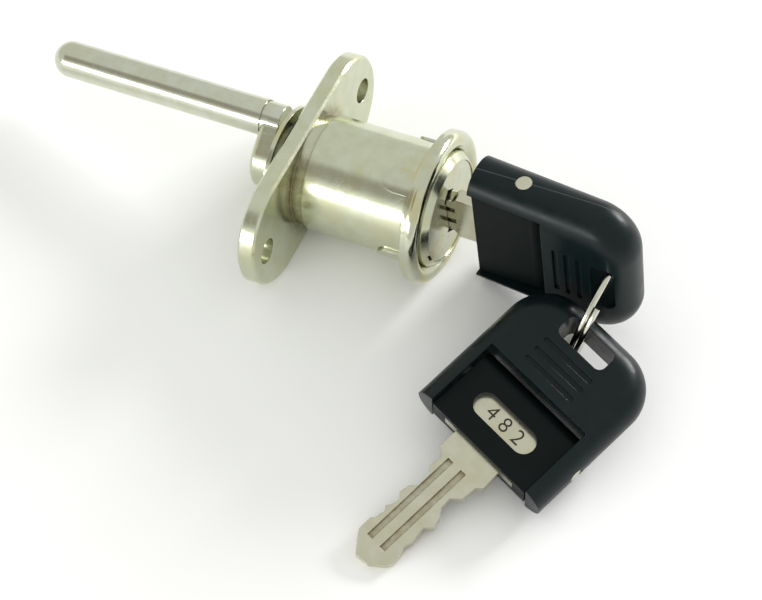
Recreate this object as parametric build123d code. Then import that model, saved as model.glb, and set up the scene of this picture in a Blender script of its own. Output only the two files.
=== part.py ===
from build123d import *
import math
import os

# frame: X runs along the barrel towards the key, Y along the flange, Z up
# origin on the lock axis at the front face of the flange

# working values
past = 1.0             # how far a cut runs past the face that it opens
overlap = 0.5          # how far joined shapes run into each other

# barrel
barrel_d = 19.0
barrel_end = 23.8
barrel_chamfer = 1.0
neck_step = 0.5
neck_d = barrel_d - 2 * neck_step
neck_length = 2.1
bore_start = 1.5
groove_depth = 1.05
groove_side_play = 0.3
groove_lead = 2.0
stop_notch_angle = 194.0
stop_notch_width = 1.8
stop_notch_depth = 0.9
stop_notch_reach = 0.45

# flange
flange_length = 44.0
flange_width = barrel_d
flange_thick = 3.0
screw_pitch = 35.0
screw_hole_d = 4.2
flange_edge = 0.4

# trim ring, its places measured back from the end of the barrel
trim_reach = 3.0
trim_depth = 3.2
shoulder_depth = 2.6
crest_reach = 1.7
crest_depth = 0.8
lip_reach = 0.6
lip_depth = 1.3
trim_sheet = 0.5
trim_d = barrel_d + 2 * trim_reach
trim_rear = barrel_end - trim_depth
trim_shoulder = barrel_end - shoulder_depth
trim_crest = barrel_end - crest_depth
trim_crest_r = barrel_d / 2 + crest_reach
lip_r = barrel_d / 2 + lip_reach
lip_x = barrel_end - lip_depth
lip_sheet = 0.25
roll_depth = 0.75
roll_rise = 0.13
roll_back_rise = 0.1
skirt_gap = 0.05
skirt_sheet = 0.4
skirt_start_depth = 4.5
skirt_end_depth = 2.4
tab_tip_depth = 9.1
skirt_start = barrel_end - skirt_start_depth
skirt_end = barrel_end - skirt_end_depth
tab_tip = barrel_end - tab_tip_depth
tab_width = 4.2
tab_angles = (22.0, 112.0, 202.0, 292.0)

# plug and its bores
plug_play = 0.05
plug_end_play = 0.1
plug_head_play = 0.05
plug_d = 13.0
plug_start = bore_start + plug_end_play
barrel_rim = 1.25
plug_head_d = barrel_d - 2 * barrel_rim
plug_face_sink = 0.2
plug_face = barrel_end - plug_face_sink
plug_head_thick = 2.0
plug_head_start = plug_face - plug_head_thick
plug_tail_d = 8.0
bore_d = plug_d + 2 * plug_play
counterbore_d = plug_head_d + 2 * plug_play
counterbore_start = plug_head_start - plug_head_play
tail_bore_d = plug_tail_d + 2 * plug_play
keyway_width = 2.4
keyway_height = 8.2
mouth_height = 10.0
mouth_width = 3.6
mouth_depth = 1.3
mouth_slope = 0.9
mouth_barb = 1.0
mouth_barb_rise = 0.4

# wafers and springs
wafer_count = 7
wafer_pitch = 2.2
wafer_lead = 2.0
wafer_last = plug_head_start - wafer_lead
wafer_first = wafer_last - (wafer_count - 1) * wafer_pitch
wafer_thick = 0.95
wafer_width = 6.8
wafer_end_gap = 0.1
wafer_end_r = plug_d / 2 - wafer_end_gap
wafer_window_w = 3.4
wafer_window_h = 9.4
wafer_play = 0.1
wafer_stroke = 0.5
lug_reach = 4.8
lug_height = 0.8
groove_width = wafer_width + 2 * groove_side_play
groove_start = wafer_first - groove_lead
spring_wire = 0.26
spring_r = 0.46
spring_turns = 4.5
spring_length = 2.7
spring_play = 0.03
spring_y = 4.15
spring_well_d = 1.5
spring_well_depth = 3.5

# tail stack, each piece placed behind the one before it
clip_gap = 0.1
clip_front = -flange_thick - clip_gap
clip_thick = 0.8
clip_d = 12.0
clip_root_d = 6.2
clip_mouth = 4.4
ear_hole_d = 2.2
ear_hole_y = 1.2
ear_hole_out = 0.7
groove_play = 0.05
tail_square = 4.8
tail_corner_d = 6.4
square_play = 0.04
washer_gap = 0.3
washer_front = clip_front - clip_thick - washer_gap
washer_thick = 0.7
washer_margin = 0.3
washer_d = flange_width - 2 * washer_margin
boss_gap = 0.05
boss_front = washer_front - washer_thick - boss_gap
boss_d = 9.0
boss_height = 1.45
web_front = boss_front - boss_height
web_thick = 3.2
web_rear = web_front - web_thick
crank_hub_d = 10.4
crank_edge_r = 1.0
tail_in_web = 1.6
pocket_play = 0.2
tail_end = web_front - tail_in_web
crank_pocket = tail_end - pocket_play
eccentric_y = 3.3
eccentric_z = 5.1
pin_d = 6.0
pin_root_step = 0.18
pin_root_d = pin_d - 2 * pin_root_step
pin_root_chamfer = 0.1
pin_root_out = 0.15
pin_length = 38.9
pin_tip = web_rear - pin_length
pin_seat_play = 0.02
crank_nose_d = 5.2

# crank screw
screw_d = 3.0
screw_hole_play = 0.2
screw_head_d = 5.6
screw_in_tail = 4.6
screw_end = tail_end + screw_in_tail
thread_step = 0.55
thread_play = 0.05
thread_end_play = 0.6
screw_slot_w = 0.8
screw_slot_depth = 0.7
screw_sink = 0.05

# keys
head_length = 27.4
head_width = 26.0
head_thick = 8.5
head_edge_r = 4.15
head_corner_r = 7.5
block_width = 19.5
block_thick = 5.0
block_arc_start = 9.4
block_end = 12.4
cavity_play = 0.3
cavity_end_play = 0.35
cavity_end = block_end + cavity_end_play
pivot_from_front = 8.0
pivot_d = 2.6
pivot_play = 0.04
pivot_recess = 0.15
pivot_hole_past = 0.1
ring_slot_length = 9.4
ring_slot_width = 4.0
ring_slot_corner = 1.2
ring_slot_from_end = 4.4
ring_slot_at = head_length - ring_slot_from_end
rib_count = 3
rib_length = 10.0
rib_width = 0.9
rib_depth = 0.35
rib_pitch = 2.0
rib_from_slot = 8.0
rib_first = ring_slot_at - rib_from_slot
blade_thick = 2.2
bow_width = 14.4
bow_length = 10.3
bow_play = 0.02
pivot_from_bow = 0.4
pivot_inner = bow_width / 2 + pivot_from_bow
window_width = 12.0
window_height = 4.0
window_at = 5.6
track_width = 1.1
track_depth = 0.55
track_1 = -0.9
track_2 = 1.8
track_start = 4.0
track_end = 21.0

# edges of the blade: distance back from the head, distance from the middle line
upper_edge = [(0, 4.58), (3.6, 4.6), (4.5, 3.2), (7.0, 3.4), (7.9, 2.45), (10.3, 2.46),
              (11.3, 3.4), (13.0, 3.7), (13.75, 2.9), (15.3, 3.15), (16.0, 3.65), (16.6, 3.1),
              (18.4, 3.4), (18.9, 3.85), (21.3, 3.8), (23.7, 1.9), (24.4, 1.3)]
lower_edge = [(24.1, -1.1), (22.5, -3.0), (21.5, -3.66), (19.5, -3.36), (18.3, -2.9),
              (16.8, -3.2), (14.3, -2.86), (13.1, -3.85), (11.45, -3.4), (10.0, -2.44),
              (8.3, -2.4), (7.0, -3.7), (4.4, -3.9), (3.6, -4.75), (0, -4.58)]

# rest pose of the keys and the ring
blade_showing = 5.4
key_1_front = plug_face + blade_showing
key_1_fold = 5.3
blade_tip = upper_edge[-1][0]
keyway_past_tip = 1.0
keyway_start = key_1_front - blade_tip - keyway_past_tip
key_2_length_dir = (0.392, 0.908, 0.149)
key_2_face_dir = (0.188, -0.238, 0.953)
slot_1_to_ring = (-1.99587, -2.36443, -5.47)
ring_to_slot_2 = (1.83452, -9.50943, -1.05357)

# split ring
ring_r = 9.6
ring_wire = 0.9
ring_wire_pitch = 0.96
ring_turns = 1.7
ring_lead = 1.2
ring_axis = (-0.962, 0.041, 0.27)
ring_start_dir = (0.175, -0.666, 0.725)


def disc(diameter, front, rear, y=0.0, z=0.0):
    """cylinder along X between two faces"""
    plane = Plane(origin=(rear, y, z), x_dir=(0, 1, 0), z_dir=(1, 0, 0))
    return extrude(plane * Circle(diameter / 2), front - rear)


def box(x0, x1, y0, y1, z0, z1):
    """block between six faces"""
    size = (x1 - x0, y1 - y0, z1 - z0)
    return Pos((x0 + x1) / 2, (y0 + y1) / 2, (z0 + z1) / 2) * Box(*size)


def square_bar(side, corner_d, front, rear):
    """square bar with turned corners, one flat facing the locking pin"""
    lean = math.degrees(math.atan2(eccentric_z, eccentric_y))
    bar = box(rear, front, -side / 2, side / 2, -side / 2, side / 2)
    return Rot(lean, 0, 0) * (bar & disc(corner_d, front, rear))


def across(shape_2d, front, rear):
    """sketch drawn with x as Y and y as Z, run along X"""
    plane = Plane(origin=(rear, 0, 0), x_dir=(0, 1, 0), z_dir=(1, 0, 0))
    return extrude(plane * shape_2d, front - rear)


# housing
def make_housing():
    plate = across(SlotOverall(flange_length, flange_width), 0.0, -flange_thick)
    plate = chamfer(plate.faces().sort_by(Axis.X)[0].edges(), flange_edge)
    plate = chamfer(plate.faces().sort_by(Axis.X)[-1].edges(), flange_edge)
    neck = disc(neck_d, neck_length, -overlap)
    barrel = disc(barrel_d, barrel_end, neck_length)
    barrel = chamfer(barrel.faces().sort_by(Axis.X)[-1].edges(), barrel_chamfer)
    body = plate + neck + barrel
    for side in (1, -1):
        body -= disc(screw_hole_d, past, -flange_thick - past, side * screw_pitch / 2)
    body -= disc(bore_d, barrel_end, bore_start)
    body -= disc(counterbore_d, barrel_end + past, counterbore_start)
    body -= disc(tail_bore_d, bore_start + past, -flange_thick - past)
    groove_r = bore_d / 2 + groove_depth
    groove = box(groove_start, counterbore_start + overlap,
                 -groove_width / 2, groove_width / 2, -groove_r, groove_r)
    body -= groove & disc(2 * groove_r, barrel_end, bore_start)
    notch_r = counterbore_d / 2
    notch = box(barrel_end - stop_notch_depth, barrel_end + past,
                notch_r - past, notch_r + stop_notch_reach,
                -stop_notch_width / 2, stop_notch_width / 2)
    body -= Rot(stop_notch_angle, 0, 0) * notch
    return body


# trim ring
def trim_tab(angle, inner_r, outer_r):
    straight = tab_tip + tab_width / 2
    tall = outer_r + past
    tongue = box(straight, skirt_start + overlap, -tab_width / 2, tab_width / 2, 0.0, tall)
    tongue += Pos(straight, 0, tall / 2) * Cylinder(tab_width / 2, tall)
    rear = tab_tip - past
    shell = disc(2 * outer_r, skirt_end, rear) - disc(2 * inner_r, skirt_end, rear)
    # the tongue is drawn towards +Z, ninety degrees from +Y
    return shell & (Rot(angle - 90.0, 0, 0) * tongue)


def make_rosette():
    inner_r = barrel_d / 2 + skirt_gap
    outer_r = inner_r + skirt_sheet
    edge_r = trim_d / 2
    with BuildPart() as ring:
        with BuildSketch(Plane.XY):
            with BuildLine():
                Polyline((skirt_start, outer_r), (skirt_start, inner_r), (skirt_end, inner_r))
                ThreePointArc((skirt_end, inner_r), (skirt_end + roll_depth, inner_r + roll_rise),
                              (lip_x, lip_r))
                ThreePointArc((lip_x, lip_r), (trim_crest, trim_crest_r), (trim_shoulder, edge_r))
                Polyline((trim_shoulder, edge_r), (trim_rear, edge_r),
                         (trim_rear, edge_r - trim_sheet), (trim_shoulder, edge_r - trim_sheet))
                ThreePointArc((trim_shoulder, edge_r - trim_sheet),
                              (trim_crest - trim_sheet, trim_crest_r),
                              (lip_x - trim_sheet, lip_r + lip_sheet))
                ThreePointArc((lip_x - trim_sheet, lip_r + lip_sheet),
                              (lip_x - roll_depth, outer_r + roll_back_rise), (skirt_end, outer_r))
                Line((skirt_end, outer_r), (skirt_start, outer_r))
            make_face()
        revolve(axis=Axis.X)
    body = ring.part
    for angle in tab_angles:
        body += trim_tab(angle, inner_r, outer_r)
    return body


# plug
def wafer_x(number):
    return wafer_first + number * wafer_pitch


def wafer_way(number):
    """+1 for the wafers that spring upwards, -1 for the others"""
    return 1 if number % 2 == 0 else -1


def keyway_mouth():
    half = mouth_height / 2
    wide = mouth_width / 2
    neck = keyway_width / 2
    barb = half - mouth_slope - mouth_barb
    point = barb + mouth_barb_rise
    outline = Polyline((neck, barb), (wide, point), (0.0, half), (-wide, point),
                       (-neck, barb), (-neck, -barb), (-wide, -point), (0.0, -half),
                       (wide, -point), (neck, -barb), (neck, barb))
    return across(make_face(outline), plug_face + past, plug_face - mouth_depth)


def make_plug():
    body = disc(plug_d, plug_head_start, plug_start)
    body += disc(plug_head_d, plug_face, plug_head_start)
    body += disc(plug_tail_d, plug_start, clip_front - clip_thick - groove_play)
    groove_rear = clip_front - clip_thick - groove_play
    groove_front = clip_front + groove_play
    body -= (disc(plug_tail_d + past, groove_front, groove_rear)
             - disc(clip_root_d - 2 * groove_play, groove_front, groove_rear))
    body += square_bar(tail_square, tail_corner_d, groove_rear, tail_end)
    body -= box(keyway_start, plug_face + past, -keyway_width / 2, keyway_width / 2,
                -keyway_height / 2, keyway_height / 2)
    body -= keyway_mouth()
    for number in range(wafer_count):
        x = wafer_x(number)
        way = wafer_way(number)
        reach = wafer_thick / 2 + wafer_play / 2
        side = wafer_width / 2 + wafer_play / 2
        body -= box(x - reach, x + reach, -side, side, -plug_d, plug_d)
        lug = lug_height / 2 + wafer_play
        low = -lug if way > 0 else -lug - wafer_stroke
        high = lug + wafer_stroke if way > 0 else lug
        body -= box(x - reach, x + reach, 0.0, lug_reach + wafer_play, low, high)
        end = -way * spring_well_depth
        well = Pos(x, spring_y, end / 2) * Cylinder(spring_well_d / 2, spring_well_depth)
        body -= well
    core_d = screw_d - thread_step + thread_play
    body -= disc(core_d, screw_end + thread_end_play, tail_end - past)
    return body


# wafers
def make_wafer(number):
    x = wafer_x(number)
    half = wafer_thick / 2
    body = box(x - half, x + half, -wafer_width / 2, wafer_width / 2, -plug_d / 2, plug_d / 2)
    body = body & disc(2 * wafer_end_r, x + past, x - past)
    body += box(x - half, x + half, 0.0, lug_reach, -lug_height / 2, lug_height / 2)
    body -= box(x - past, x + past, -wafer_window_w / 2, wafer_window_w / 2,
                -wafer_window_h / 2, wafer_window_h / 2)
    return body


def make_spring(number):
    x = wafer_x(number)
    way = wafer_way(number)
    lug = lug_height / 2 + spring_play + spring_wire / 2
    coil = Helix(spring_length / spring_turns, spring_length, spring_r)
    wire = sweep(Plane(origin=coil @ 0, z_dir=coil % 0) * Circle(spring_wire / 2), path=coil)
    turned = Rot(180, 0, 0) * wire if way > 0 else wire
    return Pos(x, spring_y, -way * lug) * turned


# retaining clip
def make_clip():
    rear = clip_front - clip_thick
    body = disc(clip_d, clip_front, rear) - disc(clip_root_d, clip_front, rear)
    body -= box(rear - past, clip_front + past, -clip_d, 0.0, -clip_mouth / 2, clip_mouth / 2)
    for side in (1, -1):
        out = side * (clip_root_d / 2 + ear_hole_out)
        body -= disc(ear_hole_d, clip_front + past, rear - past, ear_hole_y, out)
    return body


# washer
def make_washer():
    rear = washer_front - washer_thick
    play = 2 * square_play
    body = disc(washer_d, washer_front, rear)
    return body - square_bar(tail_square + play, tail_corner_d + play, 0.0, rear - past)


# crank
def make_crank():
    hub = Circle(crank_hub_d / 2)
    nose = Pos(eccentric_y, eccentric_z) * Circle(crank_nose_d / 2)
    body = across(make_hull(hub.edges() + nose.edges()), web_front, web_rear)
    body = fillet(body.faces().sort_by(Axis.X)[0].edges(), crank_edge_r)
    body += disc(boss_d, boss_front, web_front - overlap)
    seat = pin_root_d + 2 * pin_seat_play
    body -= disc(seat, boss_front + past, web_rear - past, eccentric_y, eccentric_z)
    play = 2 * square_play
    body -= square_bar(tail_square + play, tail_corner_d + play, 0.0, crank_pocket)
    body -= disc(screw_d + 2 * screw_hole_play, 0.0, web_rear - past)
    depth = (screw_head_d - screw_d) / 2
    cone = Cone(screw_head_d / 2, screw_d / 2, depth)
    body -= Pos(web_rear + depth / 2, 0, 0) * Rot(0, 90, 0) * cone
    return body


def make_crank_screw():
    depth = (screw_head_d - screw_d) / 2
    cone = Cone(screw_head_d / 2 - screw_sink, screw_d / 2 - screw_sink, depth)
    head = Pos(web_rear + depth / 2 + screw_sink, 0, 0) * Rot(0, 90, 0) * cone
    rear = web_rear + screw_sink
    shank = disc(screw_d, crank_pocket, rear + depth - overlap)
    thread = disc(screw_d - thread_step, screw_end, crank_pocket)
    body = head + shank + thread
    half = screw_slot_w / 2
    body -= box(rear - past, rear + screw_slot_depth, -screw_head_d, screw_head_d, -half, half)
    return body


# locking pin
def make_pin():
    r = pin_d / 2
    shoulder = web_rear - pin_root_out
    root = disc(pin_root_d, web_front, shoulder, eccentric_y, eccentric_z)
    root = chamfer(root.faces().sort_by(Axis.X)[-1].edges(), pin_root_chamfer)
    body = root + disc(pin_d, shoulder, pin_tip + r, eccentric_y, eccentric_z)
    return body + Pos(pin_tip + r, eccentric_y, eccentric_z) * Sphere(r)


# key pieces, drawn with X along the key from its tip to the ring, Y across, Z through
def head_outline():
    w = head_width / 2
    r = head_corner_r
    with BuildSketch() as sketch:
        with BuildLine():
            Polyline((head_length - r, w), (0, w), (0, -w), (head_length - r, -w))
            RadiusArc((head_length - r, -w), (head_length, -w + r), -r)
            Line((head_length, -w + r), (head_length, w - r))
            RadiusArc((head_length, w - r), (head_length - r, w), -r)
        make_face()
    return sketch.sketch


def make_head():
    body = Pos(0, 0, -head_thick / 2) * extrude(head_outline(), head_thick)
    rims = body.faces().sort_by(Axis.Z)
    edges = [edge for face in (rims[0], rims[-1]) for edge in face.edges()
             if edge.center().X > 0]
    body = fillet(edges, head_edge_r)
    cavity = block_width / 2 + cavity_play
    body -= box(-past, cavity_end, -cavity, cavity, -head_thick, head_thick)
    body -= extrude(Pos(ring_slot_at, 0, -head_thick) * Rot(0, 0, 90)
                    * RectangleRounded(ring_slot_length, ring_slot_width, ring_slot_corner),
                    2 * head_thick)
    for number in range(rib_count):
        x = rib_first + number * rib_pitch
        for side in (1, -1):
            z = side * (head_thick / 2 - rib_depth / 2)
            rib = SlotOverall(rib_length, rib_width)
            cut = extrude(Pos(x, 0, z - rib_depth / 2) * Rot(0, 0, 90) * rib, rib_depth)
            body -= cut
    axle = Rot(90, 0, 0) * Cylinder(pivot_d / 2 + pivot_play / 2, head_width + 2 * past)
    return body - Pos(pivot_from_front, 0, 0) * axle


def make_block():
    w = block_width / 2
    t = block_thick / 2
    with BuildSketch(Plane.XZ) as side:
        with BuildLine():
            Polyline((block_arc_start, -t), (0, -t), (0, t), (block_arc_start, t))
            ThreePointArc((block_arc_start, t), (block_end, 0), (block_arc_start, -t))
        make_face()
    body = Pos(0, w, 0) * extrude(side.sketch, block_width)
    bow = bow_width / 2 + bow_play
    body -= box(-past, bow_length + bow_play, -bow, bow,
                -blade_thick / 2 - bow_play, blade_thick / 2 + bow_play)
    window = Rot(0, 0, 90) * SlotOverall(window_width, window_height)
    body -= extrude(Pos(window_at, 0, 0) * window, block_thick)
    axle = Rot(90, 0, 0) * Cylinder(pivot_d / 2 + pivot_play, head_width)
    kept = pivot_inner - pivot_hole_past
    middle = box(-past, block_end + past, -kept, kept, -block_thick, block_thick)
    return body - (Pos(pivot_from_front, 0, 0) * axle - middle)


def blade_outline():
    """outline of the blade and its bow, the tip towards -X"""
    points = [(-back, out) for back, out in upper_edge + lower_edge]
    bow = bow_width / 2
    bow_points = [(0, -bow), (bow_length, -bow), (bow_length, bow), (0, bow)]
    return Polyline(*(points + bow_points), close=True)


def make_blade():
    body = Pos(0, 0, -blade_thick / 2) * extrude(make_face(blade_outline()), blade_thick)
    for track in (track_1, track_2):
        for side in (1, -1):
            middle = side * track
            floor = side * (blade_thick / 2 - track_depth)
            body -= box(-track_end, -track_start, middle - track_width / 2, middle + track_width / 2,
                        min(floor, side * blade_thick), max(floor, side * blade_thick))
    return body


def make_pivots():
    """two short pins, one through each arm into the block"""
    length = head_width / 2 - pivot_recess - pivot_inner
    middle = pivot_inner + length / 2
    pin = Rot(90, 0, 0) * Cylinder(pivot_d / 2, length)
    return [Pos(pivot_from_front, side * middle, 0) * pin for side in (1, -1)]


# places of the keys and the split ring
def straight_place():
    """place of the key in the lock, its width along Z"""
    return Plane(origin=(key_1_front, 0, 0), x_dir=(1, 0, 0), z_dir=(0, 1, 0)).location


def folded_place():
    """the first head, folded about its pivot"""
    turn = Pos(pivot_from_front, 0, 0) * Rot(0, key_1_fold, 0) * Pos(-pivot_from_front, 0, 0)
    return straight_place() * turn


def ring_middle():
    """middle of the ring, which hangs through the slot of the first head"""
    slot_1 = (folded_place() * Pos(ring_slot_at, 0, 0)).position
    return slot_1 + Vector(slot_1_to_ring)


def loose_place():
    """the second key, hung on the ring by its slot"""
    slot_2 = ring_middle() + Vector(ring_to_slot_2)
    front = slot_2 - Vector(key_2_length_dir).normalized() * ring_slot_at
    return Plane(origin=front, x_dir=key_2_length_dir, z_dir=key_2_face_dir).location


def make_ring():
    coil = Helix(ring_wire_pitch, ring_wire_pitch * ring_turns, ring_r, lefthand=True)
    wire = sweep(Plane(origin=coil @ 0, z_dir=coil % 0) * Circle(ring_wire / 2), path=coil)
    placed = Pos(0, 0, -ring_lead) * wire
    frame = Plane(origin=ring_middle(), x_dir=ring_start_dir, z_dir=ring_axis)
    return frame.location * placed


def save(name, shape):
    solids = shape if isinstance(shape, list) else [shape]
    solids = [solid for item in solids for solid in item.solids()]
    body = solids[0] if len(solids) == 1 else Compound(children=solids)
    body.label = name
    export_step(body, f"parts/{name}.step")
    print(name, len(solids), round(sum(solid.volume for solid in solids), 2))


def main():
    os.makedirs("parts", exist_ok=True)
    save("housing", make_housing())
    save("rosette", make_rosette())
    save("plug", make_plug())
    for number in range(wafer_count):
        save(f"wafer_{number + 1}", make_wafer(number))
    save("wafer_springs", [make_spring(number) for number in range(wafer_count)])
    save("retaining_clip", make_clip())
    save("tail_washer", make_washer())
    save("crank", make_crank())
    save("crank_screw", make_crank_screw())
    save("locking_pin", make_pin())
    save("split_ring", make_ring())
    head = make_head()
    block = make_block()
    blade = make_blade()
    pivots = make_pivots()
    folded = folded_place()
    straight = straight_place()
    loose = loose_place()
    save("key_1_head", folded * head)
    save("key_1_block", straight * block)
    save("key_1_blade", straight * blade)
    save("key_1_pivots", [folded * pin for pin in pivots])
    save("key_2_head", loose * head)
    save("key_2_block", loose * block)
    save("key_2_blade", loose * blade)
    save("key_2_pivots", [loose * pin for pin in pivots])


main()
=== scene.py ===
# %% [markdown]
# # A pedestal lock with two folding-head keys
# A lock for a desk pedestal is a die-cast barrel with a screw flange. Its plug carries an
# eccentric pin at the back. The CAD frame holds the exact solids, so this lesson gives them
# their finishes, adds the small stamped numbers, and sets up the floor, the light and the
# camera.

# %% load the frame
import math
import bpy
from mathutils import Matrix, Vector


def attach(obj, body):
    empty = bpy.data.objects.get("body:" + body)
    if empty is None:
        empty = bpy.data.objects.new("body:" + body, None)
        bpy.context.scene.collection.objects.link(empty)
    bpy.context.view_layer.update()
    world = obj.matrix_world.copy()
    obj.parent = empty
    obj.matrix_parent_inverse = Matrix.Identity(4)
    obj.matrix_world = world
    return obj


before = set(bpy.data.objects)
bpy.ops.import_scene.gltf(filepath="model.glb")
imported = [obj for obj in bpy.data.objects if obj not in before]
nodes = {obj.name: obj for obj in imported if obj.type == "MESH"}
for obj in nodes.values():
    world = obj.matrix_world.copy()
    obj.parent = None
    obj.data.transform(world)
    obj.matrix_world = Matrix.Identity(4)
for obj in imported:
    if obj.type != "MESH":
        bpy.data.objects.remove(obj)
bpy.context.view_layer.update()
MM = 0.001
print("nodes:", len(nodes))

# %% [markdown]
# ## Helpers for node trees
# Every finish below is a tree of shader nodes. Written out in full, each node takes several
# lines, so small helpers keep the cells short. The first adds a node and sets its options, the
# second links two sockets, and the third fills a socket with a plain number or with a link.

# %% nodes and links
def add(tree, kind, **options):
    made = tree.nodes.new("ShaderNode" + kind)
    for name, value in options.items():
        setattr(made, name, value)
    return made


def wire(tree, source, target):
    tree.links.new(source, target)


def feed(tree, value, socket):
    if isinstance(value, (int, float)):
        socket.default_value = value
    else:
        wire(tree, value, socket)

print("helpers for nodes and links ready")

# %% [markdown]
# ## Sums, ranges and noise
# Three nodes come up again and again: a sum, a map from one range onto another, and a noise.
# Each gets a helper of its own. Every noise here is drawn in the object's own space, so the
# pattern stays on a piece when a joint moves it.

# %% sums, ranges and noise
def math_node(tree, operation, first, second=None, clamp=False):
    made = add(tree, "Math", operation=operation, use_clamp=clamp)
    feed(tree, first, made.inputs[0])
    if second is not None:
        feed(tree, second, made.inputs[1])
    return made.outputs[0]


def ramp(tree, value, low, high, start=0.0, end=1.0):
    made = add(tree, "MapRange")
    limits = {"From Min": low, "From Max": high, "To Min": start, "To Max": end}
    for name, limit in limits.items():
        made.inputs[name].default_value = limit
    wire(tree, value, made.inputs["Value"])
    return made.outputs["Result"]


def noise(tree, place, scale, detail=2.0, rough=0.5):
    made = add(tree, "TexNoise")
    made.inputs["Detail"].default_value = detail
    made.inputs["Roughness"].default_value = rough
    feed(tree, scale, made.inputs["Scale"])
    wire(tree, place, made.inputs["Vector"])
    return made

print("helpers for sums, ranges and noise ready")

# %% [markdown]
# ## Effect groups
# Several finishes share the same effects: grain, brush marks, scratches and painted shade in
# corners. Each effect is one group that puts out masks, so it is drawn once and every material
# decides by itself what to do with it.

# %% groups
def new_group(name, inputs, outputs):
    tree = bpy.data.node_groups.new(name, "ShaderNodeTree")
    for label, kind, value in inputs:
        made = tree.interface.new_socket(label, in_out="INPUT", socket_type="NodeSocket" + kind)
        made.default_value = value
    for label in outputs:
        tree.interface.new_socket(label, in_out="OUTPUT", socket_type="NodeSocketFloat")
    return tree, tree.nodes.new("NodeGroupInput"), tree.nodes.new("NodeGroupOutput")


def use_group(tree, group, **sockets):
    made = tree.nodes.new("ShaderNodeGroup")
    made.node_tree = group
    for name, value in sockets.items():
        made.inputs[name].default_value = value
    return made

print("helpers for groups ready")

# %% [markdown]
# ## Casting grain
# A casting copies the skin of its mould: a fine grain, broad patches that shine a little less,
# and slow waves where the metal shrank. As mesh they would take millions of faces. Three
# noises of different size look the same and cost nothing. The fine one differs between metal
# and plastic, so its size is an input.

# %% casting grain
patch_scale = 420.0
wave_scale = 170.0


def make_grain():
    tree, start, end = new_group("casting_grain", [("Size", "Float", 3000.0)],
                                 ["Height", "Patches", "Waves"])
    place = add(tree, "TexCoord").outputs["Object"]
    scales = {"Height": start.outputs["Size"], "Patches": patch_scale, "Waves": wave_scale}
    for label, scale in scales.items():
        wire(tree, noise(tree, place, scale).outputs["Fac"], end.inputs[label])
    return tree

grain = make_grain()
print("made", grain.name, "of", len(grain.nodes), "nodes")

# %% [markdown]
# ## Brush marks
# A pin is drawn through a die and a trim ring is turned, and both keep fine lines that run one
# way. A noise turns into such lines when the space that it is drawn in is squeezed along them.
# How much is an input, because it differs from piece to piece.

# %% brush marks
def make_brush():
    sockets = [("Stretch", "Vector", (1.0, 1.0, 1.0)), ("Scale", "Float", 2500.0)]
    tree, start, end = new_group("brush_marks", sockets, ["Height"])
    pull = add(tree, "VectorMath", operation="MULTIPLY")
    wire(tree, add(tree, "TexCoord").outputs["Object"], pull.inputs[0])
    wire(tree, start.outputs["Stretch"], pull.inputs[1])
    lines = noise(tree, pull.outputs["Vector"], start.outputs["Scale"], detail=4.0, rough=0.6)
    wire(tree, lines.outputs["Fac"], end.inputs["Height"])
    return tree

brush = make_brush()
print("made", brush.name, "of", len(brush.nodes), "nodes")

# %% [markdown]
# ## Hairline scratches
# Keys rub on whatever lies in the same drawer. The scratches are thin, slightly bent, and stop
# after a short way. The borders between the cells of a Voronoi texture are such lines: one
# noise bends them, and another wipes most of them out.

# %% hairline scratches
sway_scale = 90.0
sway_reach = 4.0 * MM
line_width = 0.012
fade_scale = 400.0
fade_span = (0.55, 0.62)


def make_scratches():
    tree, start, end = new_group("hairline_scratches", [("Scale", "Float", 260.0)], ["Mask"])
    place = add(tree, "TexCoord").outputs["Object"]
    shift = add(tree, "VectorMath", operation="SCALE")
    shift.inputs["Scale"].default_value = sway_reach
    wire(tree, noise(tree, place, sway_scale).outputs["Color"], shift.inputs[0])
    moved = add(tree, "VectorMath", operation="ADD")
    wire(tree, place, moved.inputs[0])
    wire(tree, shift.outputs["Vector"], moved.inputs[1])
    cells = add(tree, "TexVoronoi", feature="DISTANCE_TO_EDGE")
    wire(tree, moved.outputs["Vector"], cells.inputs["Vector"])
    wire(tree, start.outputs["Scale"], cells.inputs["Scale"])
    line = ramp(tree, cells.outputs["Distance"], 0.0, line_width, 1.0, 0.0)
    kept = ramp(tree, noise(tree, place, fade_scale).outputs["Fac"], *fade_span)
    wire(tree, math_node(tree, "MULTIPLY", line, kept, clamp=True), end.inputs["Mask"])
    return tree

scratches = make_scratches()
print("made", scratches.name, "of", len(scratches.nodes), "nodes")

# %% [markdown]
# ## Painted shade in the corners
# Grooves, inner corners and faces close under other faces of the same piece get a darker,
# browner colour, which is painted shade. The Ambient Occlusion node finds such places: it
# measures how much of the piece itself stands round a point, within the reach that is given. A
# noise makes the rim of the painted shade uneven.

# %% painted corner shade
open_corner = 0.96
deep_corner = 0.55
# the noise below makes the rim of the painted shade uneven
shade_noise_scale = 900.0
shade_noise_span = (0.3, 0.6)
faintest_shade = 0.55


# the mask says where the colour gets painted shade: inner corners and grooves
def make_corner_shade():
    tree, start, end = new_group("painted_corner_shade", [("Reach", "Float", 0.6 * MM)], ["Mask"])
    hidden = add(tree, "AmbientOcclusion", samples=8, only_local=True)
    wire(tree, start.outputs["Reach"], hidden.inputs["Distance"])
    corner = ramp(tree, hidden.outputs["AO"], open_corner, deep_corner)
    uneven = noise(tree, add(tree, "TexCoord").outputs["Object"], shade_noise_scale, detail=3.0)
    spread = ramp(tree, uneven.outputs["Fac"], *shade_noise_span, faintest_shade, 1.0)
    wire(tree, math_node(tree, "MULTIPLY", corner, spread, clamp=True), end.inputs["Mask"])
    return tree

corner_shade = make_corner_shade()
print("groups:", [group.name for group in bpy.data.node_groups])

# %% [markdown]
# ## Helpers for colour
# Every finish ends in one Principled shader. Its colour is never quite even, so one helper
# spreads two tones over a mask, and another lays a second colour over the first where a mask
# says so.

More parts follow.
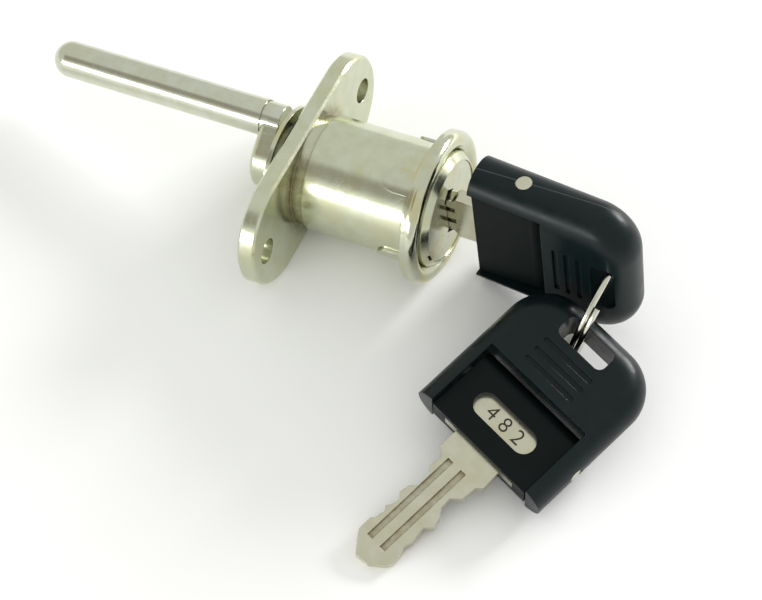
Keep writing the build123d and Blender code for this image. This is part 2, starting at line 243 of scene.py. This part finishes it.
# %% colour helpers
def new_material(name):
    made = bpy.data.materials.new(name)
    made.use_nodes = True
    return made, made.node_tree, made.node_tree.nodes["Principled BSDF"]


def shaded(color, share):
    return [part * amount for part, amount in zip(color, share)]


def two_tones(tree, mask, span, first, second):
    made = add(tree, "ValToRGB")
    for element, position, color in zip(made.color_ramp.elements, span, (first, second)):
        element.position = position
        element.color = (*color, 1)
    wire(tree, mask, made.inputs["Fac"])
    return made.outputs["Color"]


def blend_colors(tree, factor, first, second):
    made = add(tree, "Mix", data_type="RGBA")
    wire(tree, factor, made.inputs["Factor"])
    wire(tree, first, made.inputs["A"])
    made.inputs["B"].default_value = (*second, 1)
    return made.outputs["Result"]

print("helpers for colour ready")

# %% [markdown]
# ## Helpers for edges and relief
# No real edge is sharp: light runs along it in a thin line. The Bevel node rounds an edge for
# the light alone, which suits edges finer than a CAD fillet. Relief such as grain is laid over
# it by Bump nodes, one after the other, with depths in millimetres. A rubbed skin is a little
# rougher in some places than in others, and roughest in its scratches.

# %% edges and relief
def soft_edge(tree, radius):
    made = add(tree, "Bevel", samples=4)
    made.inputs["Radius"].default_value = radius * MM
    return made.outputs["Normal"]


def bumps(tree, height, depth, normal):
    made = add(tree, "Bump")
    made.inputs["Distance"].default_value = depth * MM
    wire(tree, height, made.inputs["Height"])
    wire(tree, normal, made.inputs["Normal"])
    return made.outputs["Normal"]


def worn_roughness(tree, mask, mask_span, rough, rough_share, lines, scratch_rise):
    worn = ramp(tree, mask, *mask_span, *[rough * share for share in rough_share])
    return math_node(tree, "ADD", worn, math_node(tree, "MULTIPLY", lines, scratch_rise))

print("helpers for edges and relief ready")

# %% [markdown]
# ## Nickel
# The casting, the trim ring, the pin and the washer are all nickel plated. Plating is a thin
# bright metal with a warm grey tint that keeps the surface below it: grainy on a casting,
# streaked along a drawn pin. Where it is thin, the yellow layer under it shines through. In
# inner corners and grooves the colour is painted darker and browner, as painted shade. One
# function makes every metal of the lock, and the strength of each effect tells one from
# another.

# %% nickel
even = (1.0, 1.0, 1.0)
metal_grain = 3600.0
patch_span = (0.35, 0.65)
dull_share = (0.93, 0.92, 0.87)
yellow_layer = (0.61, 0.55, 0.25)
thin_span = (0.48, 0.66)
# colour share of the painted shade in inner corners and grooves
painted_shade_share = (0.42, 0.36, 0.26)
mark_span = (0.3, 0.7)
mark_rough = (0.8, 1.25)
scratch_rough = 0.12
wave_share = 12


def nickel(name, color, rough, grain_depth, brush_depth, stretch=even, edge=0.12, reach=0.8,
           warm=0.1):
    made, tree, shader = new_material(name)
    shader.inputs["Metallic"].default_value = 1.0
    texture = use_group(tree, grain, Size=metal_grain).outputs
    marks = use_group(tree, brush, Stretch=stretch).outputs["Height"]
    lines = use_group(tree, scratches).outputs["Mask"]
    corners = use_group(tree, corner_shade, Reach=reach * MM).outputs["Mask"]
    plated = two_tones(tree, texture["Patches"], patch_span, shaded(color, dull_share), color)
    thin = ramp(tree, texture["Waves"], *thin_span, 0.0, warm)
    worn_thin = blend_colors(tree, thin, plated, yellow_layer)
    # painted shade: inner corners and grooves are coloured dark brown
    corner_shaded = blend_colors(tree, corners, worn_thin, shaded(color, painted_shade_share))
    wire(tree, corner_shaded, shader.inputs["Base Color"])
    gloss = worn_roughness(tree, marks, mark_span, rough, mark_rough, lines, scratch_rough)
    wire(tree, gloss, shader.inputs["Roughness"])
    waved = bumps(tree, texture["Waves"], grain_depth * wave_share, soft_edge(tree, edge))
    cast = bumps(tree, texture["Height"], grain_depth, waved)
    wire(tree, bumps(tree, marks, brush_depth, cast), shader.inputs["Normal"])
    return made

print("nickel can be mixed")

# %% [markdown]
# ## The metals of the lock
# Colour, roughness, depth of the grain and depth of the brush marks come first, and then what
# is special. The reach gives how far, in millimetres, the painted shade spreads out of the
# corners. The casting is the softest, with round edges and the widest painted shade. The ring
# and the plug are turned, and show most of the yellow layer. The key and the wire are handled,
# so they show little of the yellow layer and only a short reach of painted shade.

# %% metals
turned = (1.0, 0.4, 0.4)
cast_nickel = nickel("cast_nickel", (0.63, 0.66, 0.51), 0.20, 0.0030, 0.0010,
                     edge=0.25, reach=2.8, warm=0.25)
trim_nickel = nickel("trim_nickel", (0.62, 0.64, 0.51), 0.13, 0.0010, 0.0008,
                     stretch=turned, reach=2.4, warm=0.7)
pin_nickel = nickel("pin_nickel", (0.63, 0.65, 0.55), 0.17, 0.0012, 0.0020,
                    stretch=(0.06, 1.0, 1.0))
plug_nickel = nickel("plug_nickel", (0.60, 0.62, 0.49), 0.20, 0.0020, 0.0016,
                     stretch=turned, reach=2.4, warm=0.5)
wire_nickel = nickel("wire_nickel", (0.68, 0.68, 0.62), 0.13, 0.0006, 0.0006, edge=0.05)
key_nickel = nickel("key_nickel", (0.64, 0.63, 0.51), 0.22, 0.0014, 0.0026,
                    stretch=(0.3, 1.0, 1.0), edge=0.1, reach=1.0)
spring_steel = nickel("spring_steel", (0.5, 0.5, 0.51), 0.28, 0.0010, 0.0012,
                      stretch=(1.0, 1.0, 0.2), edge=0.03)
wafer_brass = nickel("wafer_brass", (0.78, 0.58, 0.28), 0.28, 0.0012, 0.0020,
                     stretch=(1.0, 1.0, 0.3), edge=0.05)
metals = (cast_nickel, trim_nickel, pin_nickel, plug_nickel, wire_nickel, key_nickel,
          spring_steel, wafer_brass)
print("metals:", [metal.name for metal in metals])

# %% [markdown]
# ## Where the two keys lie
# One key stands in the lock, the other hangs from the ring. The moulded seam and the stamped
# numbers of each are placed in the frame of its own key: X along the key towards the ring,
# Y across it, Z square to its flat face.

# %% key frames
def key_frame(front, along, face):
    x = Vector(along).normalized()
    z = Vector(face)
    z = (z - x * z.dot(x)).normalized()
    y = z.cross(x)
    place = Matrix((x, y, z)).transposed().to_4x4()
    place.translation = Vector(front) * MM
    return place

key_1_place = key_frame((29.0, 0.0, 0.0), (1.0, 0.0, 0.0), (0.0, 1.0, 0.0))
key_2_place = key_frame((42.76, -34.14, -9.95), (0.392, 0.908, 0.149), (0.188, -0.238, 0.953))
print("key 2 lies at", [round(part / MM, 2) for part in key_2_place.translation])

# %% [markdown]
# ## The seam of the mould
# The two halves of the mould leave a fine raised seam round the middle of each head. It could
# be modelled as a thin rib, but it is finer than a hair. The distance from the middle plane of
# the key gives the same line as a mask, which then lifts and greys the plastic.

# %% seam
seam_half = 0.05
seam_fade = 0.11
seam_height = 0.05
seam_show = 0.6
seam_color = (0.07, 0.08, 0.08)


def seam_mask(tree, place):
    square = place.col[2].to_3d()
    depth = add(tree, "VectorMath", operation="DOT_PRODUCT")
    depth.inputs[1].default_value = square
    wire(tree, add(tree, "TexCoord").outputs["Object"], depth.inputs[0])
    middle = place.translation.dot(square)
    away = math_node(tree, "ABSOLUTE", math_node(tree, "SUBTRACT", depth.outputs["Value"], middle))
    return ramp(tree, away, seam_half * MM, seam_fade * MM, 1.0, 0.0)

print("seam", round(2 * seam_half, 2), "mm wide")

# %% [markdown]
# ## Black plastic
# The key heads are moulded in black nylon. The mould is spark eroded, so the skin is a fine
# even grain that turns highlights into a broad satin sheen, and the plastic is so dark that
# the sheen is nearly all one sees. The heads carry the seam, the blocks inside them don't.

# %% plastic
mould_grain = 4200.0
skin_patch_span = (0.3, 0.7)
skin_dull_share = (0.75, 0.75, 0.75)
worn_skin_span = (0.35, 0.65)
worn_skin_rough = (0.88, 1.12)
skin_scratch_rough = 0.1
skin_edge = 0.2
skin_wave = 0.03
skin_depth = 0.004


def plastic(name, color, rough, gloss, place=None):
    made, tree, shader = new_material(name)
    shader.inputs["Specular IOR Level"].default_value = gloss
    texture = use_group(tree, grain, Size=mould_grain).outputs
    lines = use_group(tree, scratches).outputs["Mask"]
    dull = shaded(color, skin_dull_share)
    shown = two_tones(tree, texture["Patches"], skin_patch_span, dull, color)
    waved = bumps(tree, texture["Waves"], skin_wave, soft_edge(tree, skin_edge))
    skin = bumps(tree, texture["Height"], skin_depth, waved)
    if place:
        seam = seam_mask(tree, place)
        shown = blend_colors(tree, math_node(tree, "MULTIPLY", seam, seam_show), shown, seam_color)
        skin = bumps(tree, seam, seam_height, skin)
    satin = worn_roughness(tree, texture["Patches"], worn_skin_span, rough, worn_skin_rough,
                           lines, skin_scratch_rough)
    wire(tree, shown, shader.inputs["Base Color"])
    wire(tree, satin, shader.inputs["Roughness"])
    wire(tree, skin, shader.inputs["Normal"])
    return made

head_tint = (0.003, 0.009, 0.010)
head_1_plastic = plastic("head_1_plastic", head_tint, 0.33, 0.23, key_1_place)
head_2_plastic = plastic("head_2_plastic", head_tint, 0.33, 0.23, key_2_place)
block_plastic = plastic("block_plastic", (0.003, 0.006, 0.006), 0.42, 0.12)
plastics = (head_1_plastic, head_2_plastic, block_plastic)
print("plastics:", [black.name for black in plastics])

# %% [markdown]
# ## Giving each piece its finish
# The solids come from CAD as plain meshes, so every finish goes onto an exact shape. To
# subdivide them would bend it. Smooth shading by angle keeps the turned and moulded faces
# round and the cut edges crisp, and moves nothing.

# %% finishes
finish_of = {
    "housing": cast_nickel, "rosette": trim_nickel, "plug": plug_nickel,
    "retaining_clip": spring_steel, "wafer_springs": spring_steel, "tail_washer": trim_nickel,
    "crank": cast_nickel, "crank_screw": key_nickel, "locking_pin": pin_nickel,
    "split_ring": wire_nickel,
}
for number, head_plastic in ((1, head_1_plastic), (2, head_2_plastic)):
    finish_of[f"key_{number}_head"] = head_plastic
    finish_of[f"key_{number}_block"] = block_plastic
    finish_of[f"key_{number}_blade"] = key_nickel
    finish_of[f"key_{number}_pivots"] = key_nickel
for number in range(1, 8):
    finish_of[f"wafer_{number}"] = wafer_brass

sharp_from = math.radians(32)
for name, piece in nodes.items():
    piece.data.materials.clear()
    piece.data.materials.append(finish_of[name])
    piece.data.shade_smooth()
    piece.data.set_sharp_from_angle(angle=sharp_from)
print("finished", len(finish_of), "pieces")

# %% [markdown]
# ## Stamped numbers
# The bow of each key shows in an oval window with a code of three digits. Real digits are
# struck into the steel. Here they are thin dark shapes laid on the steel deep in the window,
# since the ink in the strokes is all that shows at this size. A text object gives the shapes,
# and is turned into a mesh, so that it can ride on the key.

# %% ink
ink, _, ink_shader = new_material("stamped_ink")
ink_shader.inputs["Base Color"].default_value = (0.035, 0.024, 0.014, 1)
ink_shader.inputs["Roughness"].default_value = 0.5
print("mixed", ink.name)

# %% new objects
def put(name, data):
    made = bpy.data.objects.new(name, data)
    bpy.context.scene.collection.objects.link(made)
    return made

print("objects can be put into the scene")

# %% digits
code = "4 8 2"
digit_height = 3.5
stroke_trim = -0.03
digit_depth = 0.03
window_at = 5.6
steel_face = 1.13


def stamp(name, place, body):
    curve = bpy.data.curves.new(name, "FONT")
    curve.body = code
    curve.size = digit_height
    curve.offset = stroke_trim
    curve.align_x = "CENTER"
    curve.align_y = "CENTER"
    curve.extrude = digit_depth
    text = put(name, curve)
    # the code runs across the key, so the X axis of the text is turned onto the key's width
    turn = Matrix(((0, 1, 0), (-1, 0, 0), (0, 0, 1))).to_4x4()
    local = Matrix.Translation((window_at, 0, steel_face)) @ turn
    text.matrix_world = place @ Matrix.Scale(MM, 4) @ local
    bpy.context.view_layer.update()
    mesh = bpy.data.meshes.new_from_object(text)
    mesh.transform(text.matrix_world)
    bpy.data.objects.remove(text)
    mesh.materials.clear()
    mesh.materials.append(ink)
    solid = put(name, mesh)
    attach(solid, body)
    return solid

for body, place in (("key_1", key_1_place), ("key_2", key_2_place)):
    digits = stamp(f"{body}_digits", place, body)
    print(digits.name, "has", len(digits.data.polygons), "faces")

# %% [markdown]
# ## Floor
# Small hardware is photographed on white paper. The paper here is a pale rough sheet close
# under the lock. It lights the round metal from below and keeps a soft contact shadow, which
# is what turns the lower faces of the nickel dark. It leans a little, so that it comes up to
# the flange, the trim ring and the second key at once.

# %% floor
floor_normal = (0.135, 0.0, 0.991)
lock_above = 9.48
floor_half = 2.5

up = Vector(floor_normal).normalized()
across = Vector((0, 1, 0))
along = across.cross(up)
middle = up * -lock_above * MM
corners = [middle + along * (floor_half * a) + across * (floor_half * b)
           for a, b in ((-1, -1), (1, -1), (1, 1), (-1, 1))]
sheet = bpy.data.meshes.new("floor")
sheet.from_pydata(corners, [], [(0, 1, 2, 3)])
floor = put("floor", sheet)
print("floor", 2 * floor_half, "m wide")

# %% paper
white, paper_tree, paper_shader = new_material("white_paper")
paper_shader.inputs["Base Color"].default_value = (0.96, 0.96, 0.96, 1)
paper_shader.inputs["Roughness"].default_value = 0.9
paper_shader.inputs["Specular IOR Level"].default_value = 0.1
fibre = add(paper_tree, "Bump")
fibre.inputs["Strength"].default_value = 0.05
paper_grain = use_group(paper_tree, grain, Size=300.0)
wire(paper_tree, paper_grain.outputs["Height"], fibre.inputs["Height"])
wire(paper_tree, fibre.outputs["Normal"], paper_shader.inputs["Normal"])
sheet.materials.append(white)
print("laid", white.name)

# %% [markdown]
# ## Lamps
# Round nickel shows whatever stands around it, the lamps too, so both are area lamps: they
# have a shape to show, which a point or a sun has not. A long low window in front draws the
# white line along the barrel and the pin, and a lamp low at the back right picks out the
# rounded corners of the black heads.

# %% lamps
def soft_box(name, place, aim, size, watts):
    lamp = bpy.data.lights.new(name, "AREA")
    lamp.shape = "RECTANGLE"
    lamp.size, lamp.size_y = size
    lamp.energy = watts
    made = put(name, lamp)
    made.location = place
    made.rotation_mode = "QUATERNION"
    made.rotation_quaternion = (Vector(aim) - Vector(place)).to_track_quat("-Z", "Y")
    return made

soft_box("low_window", (-0.19, -0.50, 0.145), (0.0, 0.0, 0.0), (0.50, 0.13), 1.5)
soft_box("back_lamp", (0.28, 0.46, 0.17), (0.04, 0.0, 0.0), (0.22, 0.12), 2.6)
print("lamps:", [lamp.name for lamp in bpy.data.lights])

# %% [markdown]
# ## Room
# The room is an even pale grey, which gives the plating its calm beige tone. One patch of it
# is darker, where the photographer stands, and faces that look that way turn dark. A picture
# of a room would do as well, but two tones are easier to place: the patch is drawn by the
# angle to its middle.

# %% room
photographer = Vector((-0.38, -0.55, 0.745)).normalized()
patch_rim, patch_core = 0.955, 0.985
room_grey = (0.77, 0.78, 0.75)
patch_brown = (0.40, 0.38, 0.34)

world = bpy.data.worlds.new("studio")
bpy.context.scene.world = world
world.use_nodes = True
room_tree = world.node_tree
facing = add(room_tree, "VectorMath", operation="DOT_PRODUCT")
facing.inputs[1].default_value = photographer
wire(room_tree, add(room_tree, "TexCoord").outputs["Generated"], facing.inputs[0])
shade = ramp(room_tree, facing.outputs["Value"], patch_rim, patch_core)
room_tone = two_tones(room_tree, shade, (0.0, 1.0), room_grey, patch_brown)
wire(room_tree, room_tone, room_tree.nodes["Background"].inputs["Color"])
print("made", world.name, "of", len(room_tree.nodes), "nodes")

# %% [markdown]
# ## Camera
# A long lens from above and in front of the key keeps the proportions true. Its place and
# turn are the ones that bring the outline of the barrel, the flange and the keys onto the
# photographed outline.

# %% camera
camera_place = Vector((160.83, -237.58, 346.95)) * MM
view_dir = Vector((-0.32353, 0.5032, -0.80132)).normalized()
picture_right = Vector((0.90122, 0.42192, -0.09891))
picture_right = (picture_right - view_dir * picture_right.dot(view_dir)).normalized()
picture_up = picture_right.cross(view_dir)

lens = bpy.data.cameras.new("camera")
lens.sensor_width = 36.0
lens.lens = 133.07
lens.clip_start = 0.01
camera = put("camera", lens)
camera_turn = Matrix((picture_right, picture_up, -view_dir)).transposed().to_4x4()
camera_turn.translation = camera_place
camera.matrix_world = camera_turn
bpy.context.scene.camera = camera
bpy.context.scene.view_settings.view_transform = "Standard"
print("camera", round(camera_place.length, 3), "m away")
